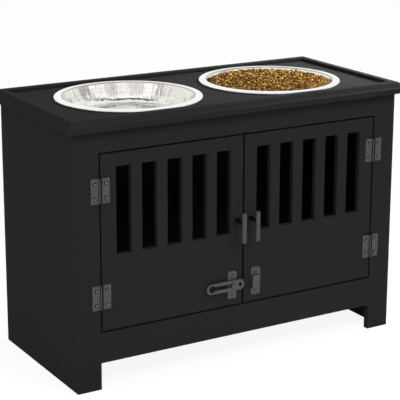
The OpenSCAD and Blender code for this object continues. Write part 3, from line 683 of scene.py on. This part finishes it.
# %% Small screws with marked points
def loose_parts(shape):
    """Lists of the points of each separate part of a shape."""
    left = set(shape.verts)
    while left:
        part = [left.pop()]
        for v in part:
            beside = {e.other_vert(v) for e in v.link_edges} & left
            left -= beside
            part += beside
        yield part

def marked_screws(node):
    """A copy of a node of screws that run front to back, with from_axis written on its points."""
    shape = rounded_copy(node, 0)
    from_axis = shape.verts.layers.float.new("from_axis")
    for part in loose_parts(shape):
        xs = [v.co.x for v in part]
        zs = [v.co.z for v in part]
        middle_x, middle_z = (min(xs) + max(xs)) / 2, (min(zs) + max(zs)) / 2
        head_r = (max(xs) - min(xs)) / 2
        for v in part:
            v[from_axis] = math.hypot(v.co.x - middle_x, v.co.z - middle_z) / head_r
    return shape

for node, slot in slot_of_node.items():
    if slot == "hardware_metal" and "screw" in node:
        coat = powder_coat if "latch" in node else screw_with_painted_highlight
        finish_piece("small_" + node, marked_screws(node), [node], coat)
print("screw pieces", list(count_of("small_")))

# %% [markdown]
# A bowl is one sheet of steel, so its section is a thin ribbon that follows a path: a flat bottom,
# a generous round, a leaning wall, a tight roll over the lip, a flange that falls a little towards
# its edge and a curl that hides the cut edge. It is worked out from the outside inwards: first the
# curl, then the lip, then the wall.

# %% The bends of a bowl
SHEET = 0.0008
BOWL_DEPTH = 0.026
BOTTOM_ROUND = 0.020
WALL_LEAN = 25
RIM_REACH = 0.112
FLANGE = 0.0095
FLANGE_FALL = 5
LIP_ROUND = 0.003
CURL_ROUND = 0.0014
CURL_END = -45
CURL_LIFT = 0.0003
BOTTOM_STEPS = 24
LIP_STEPS = 12
CURL_STEPS = 14
lean = math.radians(WALL_LEAN)

def swung(centre, size, turn):
    """The point of a bend at an angle in degrees, as radius from the bowl's middle and height."""
    return centre + size * Vector((math.cos(math.radians(turn)), math.sin(math.radians(turn))))

curl_drop = (CURL_ROUND + SHEET / 2) * math.sin(math.radians(CURL_END))
curl_middle = Vector((RIM_REACH - CURL_ROUND - SHEET / 2, CURL_LIFT - curl_drop))
flange_out = swung(curl_middle, CURL_ROUND, 90 - FLANGE_FALL)
lip_reach = RIM_REACH - FLANGE
lip_rise = flange_out.y + (flange_out.x - lip_reach) * math.tan(math.radians(FLANGE_FALL))
lip_middle = Vector((lip_reach, lip_rise - LIP_ROUND))
wall_top = swung(lip_middle, LIP_ROUND, 180 - WALL_LEAN)
wall_low = BOTTOM_ROUND - BOWL_DEPTH - BOTTOM_ROUND * math.sin(lean)
wall_low_reach = wall_top.x - (wall_top.y - wall_low) * math.tan(lean)
bottom_middle = Vector((wall_low_reach - BOTTOM_ROUND * math.cos(lean), BOTTOM_ROUND - BOWL_DEPTH))
bowl_bends = [(bottom_middle, BOTTOM_ROUND, -90, -WALL_LEAN, -1, BOTTOM_STEPS),
              (lip_middle, LIP_ROUND, 180 - WALL_LEAN, 90 - FLANGE_FALL, 1, LIP_STEPS),
              (curl_middle, CURL_ROUND, 90 - FLANGE_FALL, CURL_END, 1, CURL_STEPS)]

def wall_reach(h):
    """How far the inside of the wall lies from the middle of the bowl, at a height above the deck."""
    return wall_top.x - (wall_top.y - h) * math.tan(lean) - SHEET / 2 / math.cos(lean)

print("flat bottom", round(2 * bottom_middle.x, 4), "wide")

# %% [markdown]
# The sheet has a thickness, so each bend is drawn once for either face, with its radius a little
# larger or smaller. Which way it changes depends on the side on which the bend's centre lies.

# %% Both faces of the sheet
def sheet_face(inset):
    """One face of the sheet, as radius and height above the deck, moved by inset towards the inside."""
    points = [(0.0, inset - BOWL_DEPTH)]
    for centre, bend, start, end, sense, steps in bowl_bends:
        size = bend + sense * inset
        points += [tuple(swung(centre, size, start + (end - start) * k / steps)) for k in range(steps + 1)]
    return points

bowl_outline = sheet_face(SHEET / 2) + sheet_face(-SHEET / 2)[::-1]
print("bowl outline points", len(bowl_outline))

# %% [markdown]
# A full turn of the outline makes the bowl. The turn ends where it began, so points that fall
# together there and on the axis are merged.

# %% Spin the bowls
BOWL_TURN_STEPS = 160
BOWL_CREASE = math.radians(60)

def spun(outline, middle, steps):
    """A closed shape, from an outline of radius and height that starts and ends on the axis."""
    shape = bmesh.new()
    points = [shape.verts.new((middle.x + r, middle.y, deck_z + h)) for r, h in outline]
    edges = [shape.edges.new(pair) for pair in zip(points, points[1:])]
    bmesh.ops.spin(shape, geom=points + edges, cent=(middle.x, middle.y, 0), axis=(0, 0, 1), dvec=(0, 0, 0),
                   angle=math.tau, steps=steps, use_merge=True)
    bmesh.ops.remove_doubles(shape, verts=shape.verts, dist=SAME_POINT)
    return shape

for side in SIDES:
    bowl = spun(bowl_outline, bowl_middle[side], BOWL_TURN_STEPS)
    finish_piece(side + "_steel_bowl", bowl, ["bowl_" + side], bowl_steel[side], BOWL_CREASE)
print("bowls", count_of("steel_bowl"))

# %% [markdown]
# Dry food is poured, so each pellet rests on those below it at its own tilt. A height map gives
# that look without a simulation. Every pellet looks for a low place, tilts to what lies under its
# two ends, and then raises the map by its own shape. A bed under the pile closes the gaps, and its
# near-black colour is painted shade in them.

# %% The bed of food
FOOD_RISE = 0.0008
FOOD_CROWN = 0.0016
FOOD_GAP = 0.0004
PILE = 0.0044
BED_STEPS = 12
BED_TURN_STEPS = 72
FOOD_EDGE = wall_reach(FOOD_RISE) - FOOD_GAP

def food_height(r):
    """Height of the poured surface above the deck at a distance r from the middle of the bowl."""
    return FOOD_CROWN * (1 - (r / FOOD_EDGE) ** 2) + FOOD_RISE

def bed_outline():
    """The bed follows the bottom and wall of the bowl, and its top lies under the pellets."""
    size = BOTTOM_ROUND - SHEET / 2 - FOOD_GAP
    turns = [-90 + (90 - WALL_LEAN) * k / BED_STEPS for k in range(BED_STEPS + 1)]
    points = [(0.0, SHEET / 2 + FOOD_GAP - BOWL_DEPTH)]
    points += [tuple(swung(bottom_middle, size, turn)) for turn in turns]
    top_r = wall_reach(FOOD_RISE - PILE) - FOOD_GAP
    rings = [top_r * k / BED_STEPS for k in range(BED_STEPS, -1, -1)]
    return points + [(r, food_height(r) - PILE) for r in rings]

bed = spun(bed_outline(), bowl_middle["right"], BED_TURN_STEPS)
finish_piece("food_bed", bed, ["food_fill"], crumbs_with_painted_gap_shade)
print("bed polygons", made_pieces["food_bed"])

# %% [markdown]
# The height map is a grid over the bowl. A pellet takes the lowest of a few random spots, and one
# that would hit the wall turns to lie along it. One that would stand too proud is left out, and
# one that ends up deep in the pile gets a darker tone, painted shade for the gaps it lies in.

# %% Pour the pellets
PELLETS_MOST = 6500
CELL = 0.0005
PELLET_LONG = (0.0048, 0.0072)
PELLET_THICK = (0.0011, 0.00135)
TILT_MOST = math.radians(34)
LOOKS = 7
PROUD_MOST = 0.001
BURIED_SHADE_DEPTH = 0.002
PELLET_TONES = (0.1, 0.45, 0.72, 0.75)
TONE_SPREAD = 0.25
FOOD_SEED = 7
NO_FOOD = 1.0  # marks the part of the map outside the food
TOSS_MOST = 0.35
MIDDLE_ROOM = 0.4  # a share of the half length
WALL_ROOM = 1.2  # this and the next four are shares of the half thickness
GRAZE = 0.4
SINK_LEAST = 1.1
LIES_AT = 0.75
ROUND_BACK = 0.9
WALL_TOSS = 0.3
SLOPE_TOSS = 0.5
END_GAP = 1.5
PAINTED_SHADE_MOST = 0.95
OPEN_FOOD = 0.95

def pour():
    """The place, direction, length and thickness of each pellet, in the order of their fall."""
    dice = random.Random(FOOD_SEED)
    cells = int(2 * FOOD_EDGE / CELL) + 3
    axis = (np.arange(cells) - cells // 2) * CELL
    gx, gy = np.meshgrid(axis, axis, indexing="ij")
    reach = np.hypot(gx, gy)
    plan = food_height(reach)
    surface = np.where(reach < FOOD_EDGE, plan - PILE, NO_FOOD)
    poured = []

    def cell(distance):
        return int(round(distance / CELL)) + cells // 2

    def level(x, y):
        held = surface[cell(x), cell(y)]
        return held if held < NO_FOOD else food_height(FOOD_EDGE)

    def window(x, y, size):
        around = int(size / CELL)
        return tuple(slice(max(0, at - around - 1), at + around + 2) for at in (cell(x), cell(y)))

    for _ in range(PELLETS_MOST):
        half = dice.uniform(*PELLET_LONG) / 2
        thick = dice.uniform(*PELLET_THICK)
        room = FOOD_EDGE - thick * WALL_ROOM
        spots = []
        for _ in range(LOOKS):
            away = (room - half * MIDDLE_ROOM) * math.sqrt(dice.random())
            angle = dice.uniform(0, math.tau)
            x, y = away * math.cos(angle), away * math.sin(angle)
            spots.append((level(x, y) - food_height(away), x, y))
        low, x, y = min(spots)
        yaw = dice.uniform(0, math.pi)
        toss = dice.uniform(-TOSS_MOST, TOSS_MOST)
        shade = dice.choice(PELLET_TONES) + dice.uniform(0, TONE_SPREAD)
        squash = dice.random()
        if low > -thick * SINK_LEAST:
            continue
        away = math.hypot(x, y)
        dx, dy = math.cos(yaw), math.sin(yaw)
        if max(math.hypot(x + s * half * dx, y + s * half * dy) for s in (-1, 1)) > room:
            yaw = math.atan2(y, x) + math.pi / 2 + toss * WALL_TOSS
            if math.hypot(away, half) > room + thick * GRAZE:
                continue
        dx, dy = math.cos(yaw), math.sin(yaw)
        along = [s * (half - thick) for s in (-1, -0.5, 0, 0.5, 1)]
        under = [level(x + s * dx, y + s * dy) for s in along]
        slope = (max(under[3:]) - max(under[:2])) / (END_GAP * (half - thick)) + toss * SLOPE_TOSS
        slope = max(-math.tan(TILT_MOST), min(math.tan(TILT_MOST), slope))
        rest = max(u - slope * s for u, s in zip(under, along)) + thick * LIES_AT
        if rest + abs(slope) * half > food_height(away) + PROUD_MOST:
            continue
        near = window(x, y, half + thick)
        ahead = (gx[near] - x) * dx + (gy[near] - y) * dy
        aside = (gx[near] - x) * dy - (gy[near] - y) * dx
        inside = (np.abs(ahead) < half) & (np.abs(aside) < thick)
        top = rest + slope * ahead + np.sqrt(np.clip(thick ** 2 - aside ** 2, 0, None)) * ROUND_BACK
        held = surface[near]
        surface[near] = np.where(inside & (held < NO_FOOD), np.maximum(held, top), held)
        # Painted shade: a pellet that lies deeper below the poured surface gets a darker tone.
        buried = min(1.0, max(0.0, (food_height(away) - rest) / BURIED_SHADE_DEPTH))
        tone = shade * (1 - PAINTED_SHADE_MOST * buried)
        poured.append((Vector((x, y, rest)), yaw, math.atan(slope), half, thick, tone, squash))
    open_food = reach < FOOD_EDGE * OPEN_FOOD
    return poured, surface[open_food] - plan[open_food]

poured, above = pour()
print("pellets", len(poured), "mm above the plan:", [round(v * 1000, 2) for v in (above.mean(), above.max())])

# %% [markdown]
# One pellet is a ball of two dozen faces, stretched into a short rod with blunt ends. It is made
# once and stamped at every place from the pour, with its tone written on its points.

# %% Shape and stamp the pellets
BLUNTNESS = 0.7
PELLET_CREASE = math.radians(80)

def pellet_template():
    shape = bmesh.new()
    lie_down = Matrix.Rotation(math.pi / 2, 4, "Y")
    bmesh.ops.create_uvsphere(shape, u_segments=6, v_segments=4, radius=1, matrix=lie_down)
    for v in shape.verts:
        v.co.x = math.copysign(abs(v.co.x) ** BLUNTNESS, v.co.x)
    mesh = bpy.data.meshes.new("pellet template")
    shape.to_mesh(mesh)
    shape.free()
    return mesh

def stamp_pellets():
    template = pellet_template()
    middle = bowl_middle["right"]
    shape = bmesh.new()
    tone = shape.verts.layers.float.new("tone")
    for place, yaw, tilt, half, thick, shade, squash in poured:
        move = Matrix.Translation(Vector((middle.x, middle.y, deck_z)) + place)
        turn = Matrix.Rotation(yaw, 4, "Z") @ Matrix.Rotation(-tilt, 4, "Y")
        wide, high = thick * (0.9 + 0.2 * squash), thick * (1.1 - 0.2 * squash)
        stamp = move @ turn @ Matrix.Diagonal((half, wide, high, 1))
        first = len(shape.verts)
        shape.from_mesh(template)
        shape.verts.ensure_lookup_table()
        for v in shape.verts[first:]:
            v.co = stamp @ v.co
            v[tone] = shade
    bpy.data.meshes.remove(template)
    finish_piece("dry_food_pellets", shape, ["food_fill"], baked_pellet, PELLET_CREASE)

stamp_pellets()
print("pellet polygons", made_pieces["dry_food_pellets"])

# %% [markdown]
# The studio is a white room with a pale floor. The floor must look white and still carry the shadow
# of the cabinet, so its own light is mixed in only for rays that look at it straight, in a mirror
# or through glass.

# %% Floor
FLOOR_SIZE = 20
FLOOR_SHARE = 0.85
FLOOR_GLOW = 1.06

def empty_tree(holder):
    """The node tree of a material or world, without the nodes that it starts with."""
    holder.use_nodes = True
    holder.node_tree.nodes.clear()
    return holder.node_tree

def looks_at_it(tree):
    """1 for a ray from the camera, a reflection or through glass, and 0 for one that carries light."""
    paths = add_node(tree, "LightPath").outputs
    seen = calc(tree, "MAXIMUM", paths["Is Camera Ray"], paths["Is Glossy Ray"])
    return calc(tree, "MAXIMUM", seen, paths["Is Transmission Ray"])

def mix_shaders(tree, share, first, second):
    shaders = {0: share, 1: first.outputs[0], 2: second.outputs[0]}
    return add_node(tree, "MixShader", shaders).outputs[0]

def stage_sheet(name, shape, paper):
    """A sheet of paper that stands in the studio and is no part of the object."""
    sheet = new_object(name, new_mesh(name, shape, paper))
    sheet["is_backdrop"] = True
    return sheet

def make_floor():
    shape = bmesh.new()
    bmesh.ops.create_grid(shape, x_segments=8, y_segments=8, size=FLOOR_SIZE)
    paper = bpy.data.materials.new("white_paper")
    tree = empty_tree(paper)
    share = calc(tree, "MULTIPLY", looks_at_it(tree), FLOOR_SHARE)
    matt = add_node(tree, "BsdfDiffuse", {"Color": (0.95, 0.95, 0.95, 1)})
    glow = add_node(tree, "Emission", {"Color": (1, 1, 1, 1), "Strength": FLOOR_GLOW})
    add_node(tree, "OutputMaterial", {"Surface": mix_shaders(tree, share, matt, glow)})
    return stage_sheet("studio_floor", shape, paper)

floor = make_floor()
print("floor", [round(v, 1) for v in floor.dimensions])

# %% [markdown]
# A white room alone would leave the polished steel flat and lifeless, so cards stand round it just
# outside the picture, and only reflections can see them. A standing card is given by its angle from
# the camera, its width, the angles above the bowls between which it stands and its tone. The wall
# of a bowl shows the standing cards. Its flat bottom shows the pale card overhead, and the round
# between them shows the dark one, as a thin dark line at the foot of the wall.

# %% Cards for the steel
CAMERA_TURN = 30.911
CARD_RING = 2.4
CARD_HIGH = 2.4
cards = ((-104, 34, 2, 62, 1.0), (-68, 13, 2, 62, 0.5), (-43, 13, 2, 56, 1.35), (-27, 8, 2, 62, 0.55),
         (-5, 11, 2, 50, 0.9), (14, 10, 2, 60, 1.35), (31, 11, 2, 62, 0.6), (64, 22, 2, 56, 1.25),
         (97, 24, 2, 62, 0.52))
ceiling_cards = ((0.5, 1.3, 0.7, 1.35), (-0.32, 0.24, 1.6, 0.015))

def paper_card(name, corners, tone):
    """A sheet of evenly lit card that only reflections see."""
    shape = bmesh.new()
    shape.faces.new([shape.verts.new(c) for c in corners])
    card = bpy.data.materials.new(name)
    tree = empty_tree(card)
    warm = (tone, tone * 0.98, tone * 0.94, 1)
    lit = add_node(tree, "Emission", {"Color": warm, "Strength": 1.0})
    add_node(tree, "OutputMaterial", {"Surface": lit.outputs[0]})
    sheet = stage_sheet(name, shape, card)
    sheet.visible_camera = sheet.visible_diffuse = sheet.visible_shadow = False

def standing_card(name, turn, wide, low, high, tone):
    """A card round the cabinet, between two heights in degrees as seen from the bowls."""
    start, stop = (math.radians(CAMERA_TURN + 180 - turn + side * wide / 2) for side in (-1, 1))
    corners = []
    for around, up in ((start, low), (stop, low), (stop, high), (start, high)):
        flat = CARD_RING * math.cos(math.radians(up))
        top = deck_z + CARD_RING * math.sin(math.radians(up))
        corners.append((math.sin(around) * flat, math.cos(around) * flat, top))
    paper_card(name, corners, tone)

def ceiling_card(name, near, far, wide, tone):
    """A card overhead, between two distances from the middle towards the camera."""
    turn = math.radians(CAMERA_TURN)
    ahead = Vector((-math.sin(turn), -math.cos(turn), 0))
    across = Vector((-ahead.y, ahead.x, 0))
    above = Vector((0, 0, CARD_HIGH))
    ends = ((near, -1), (near, 1), (far, 1), (far, -1))
    paper_card(name, [above + ahead * a + across * s * wide for a, s in ends], tone)

for i, card in enumerate(cards):
    standing_card(f"card_{i + 1}", *card)
for i, card in enumerate(ceiling_cards):
    ceiling_card(f"ceiling_card_{i + 1}", *card)
print("cards", len(cards) + len(ceiling_cards))

# %% [markdown]
# The light comes from an even room and four soft boxes. A big one stands high in front, and a small
# one close to the right end gives the top its brighter right side. A mirrored lamp burns out to a
# hard white spot, so the steel shows the cards and not the boxes. The room is a little darker
# towards the horizon, which keeps the upright faces dark.

# %% World and soft boxes
ROOM_LIGHT = 0.54
HORIZON_SHARE = 0.75
FULL_FROM = 0.8  # how far up the sky its light is full

def make_world():
    world = bpy.data.worlds.new("white room")
    bpy.context.scene.world = world
    tree = empty_tree(world)
    direction = add_node(tree, "TexCoord").outputs["Generated"]
    up = add_node(tree, "SeparateXYZ", {"Vector": direction}).outputs["Z"]
    light = spread(tree, ramp(tree, up, 0, FULL_FROM), HORIZON_SHARE, 1)
    grey = add_node(tree, "CombineColor", {"Red": light, "Green": light, "Blue": light})
    room = add_node(tree, "Background", {"Color": grey.outputs["Color"], "Strength": ROOM_LIGHT})
    white = add_node(tree, "Background", {"Color": (1, 1, 1, 1), "Strength": 1.0})
    both = mix_shaders(tree, looks_at_it(tree), room, white)
    add_node(tree, "OutputWorld", {"Surface": both})

def soft_box(name, place, aim, size, watts, spread_angle=180):
    """A rectangular lamp that faces a point, with its light held to a spread in degrees."""
    lamp = bpy.data.lights.new(name, "AREA")
    lamp.spread = math.radians(spread_angle)
    lamp.shape = "RECTANGLE"
    lamp.size, lamp.size_y = size
    lamp.energy = watts
    holder = new_object(name, lamp)
    holder.location = place
    holder.rotation_euler = (Vector(aim) - Vector(place)).to_track_quat("-Z", "Y").to_euler()
    holder.visible_camera = holder.visible_glossy = False
    return name

make_world()
middle_of_all = (0, 0, 0.25)
lamps = [soft_box("overhead", (0.3, 0.1, 2.6), middle_of_all, (2.0, 1.4), 3),
         soft_box("front_high", (0.3, -1.9, 2.05), middle_of_all, (1.2, 0.9), 33.5),
         soft_box("left_fill", (-2.4, -0.5, 0.6), middle_of_all, (1.2, 0.9), 11.5),
         soft_box("right_end", (0.62, 0.04, 0.68), (0.2, 0.0, 0.4), (0.3, 0.3), 2.7, 75)]
print("lamps", lamps)

# %% [markdown]
# The camera stands where the photographer stood, found from the corners of the cabinet in the
# photograph: about 31 degrees round to the left and 14 degrees up, more than two metres away with
# a long lens. The photograph is a crop from off the middle, which the small shift repeats.

# %% Camera
CAMERA_TILT = 14.384
CAMERA_ROLL = 0.174
CAMERA_PLACE = (-1.1070, -1.8373, 0.8385)
CAMERA_LENS = 127.9
CAMERA_SHIFT = -0.1

def make_camera():
    data = bpy.data.cameras.new("photo_camera")
    data.sensor_width = 36
    data.lens = CAMERA_LENS
    data.shift_y = CAMERA_SHIFT
    data.clip_end = 100
    turn, tilt, roll = (math.radians(a) for a in (CAMERA_TURN, CAMERA_TILT, CAMERA_ROLL))
    look = Vector((math.sin(turn) * math.cos(tilt), math.cos(turn) * math.cos(tilt), -math.sin(tilt)))
    camera = new_object("photo_camera", data)
    camera.location = CAMERA_PLACE
    camera.rotation_euler = (look.to_track_quat("-Z", "Y") @ Quaternion((0, 0, 1), roll)).to_euler()
    bpy.context.scene.camera = camera
    bpy.context.scene.view_settings.view_transform = "Standard"
    return camera

camera = make_camera()
print("camera", camera.name, "lens", camera.data.lens)

# %% [markdown]
# The last cell measures the finished model against the CAD box and prints how far its corners move.

# %% Measure and finish
bpy.context.view_layer.update()
new_low, new_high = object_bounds()
hidden = sum(node.hide_render for node in frame["nodes"].values())
print("pieces", len(made_pieces), "CAD nodes replaced", hidden, "of", len(frame["nodes"]))
growth = [round(v * 1000, 2) for v in (*(new_low - cad_low), *(new_high - cad_high))]
print("box corners move in mm by", growth)
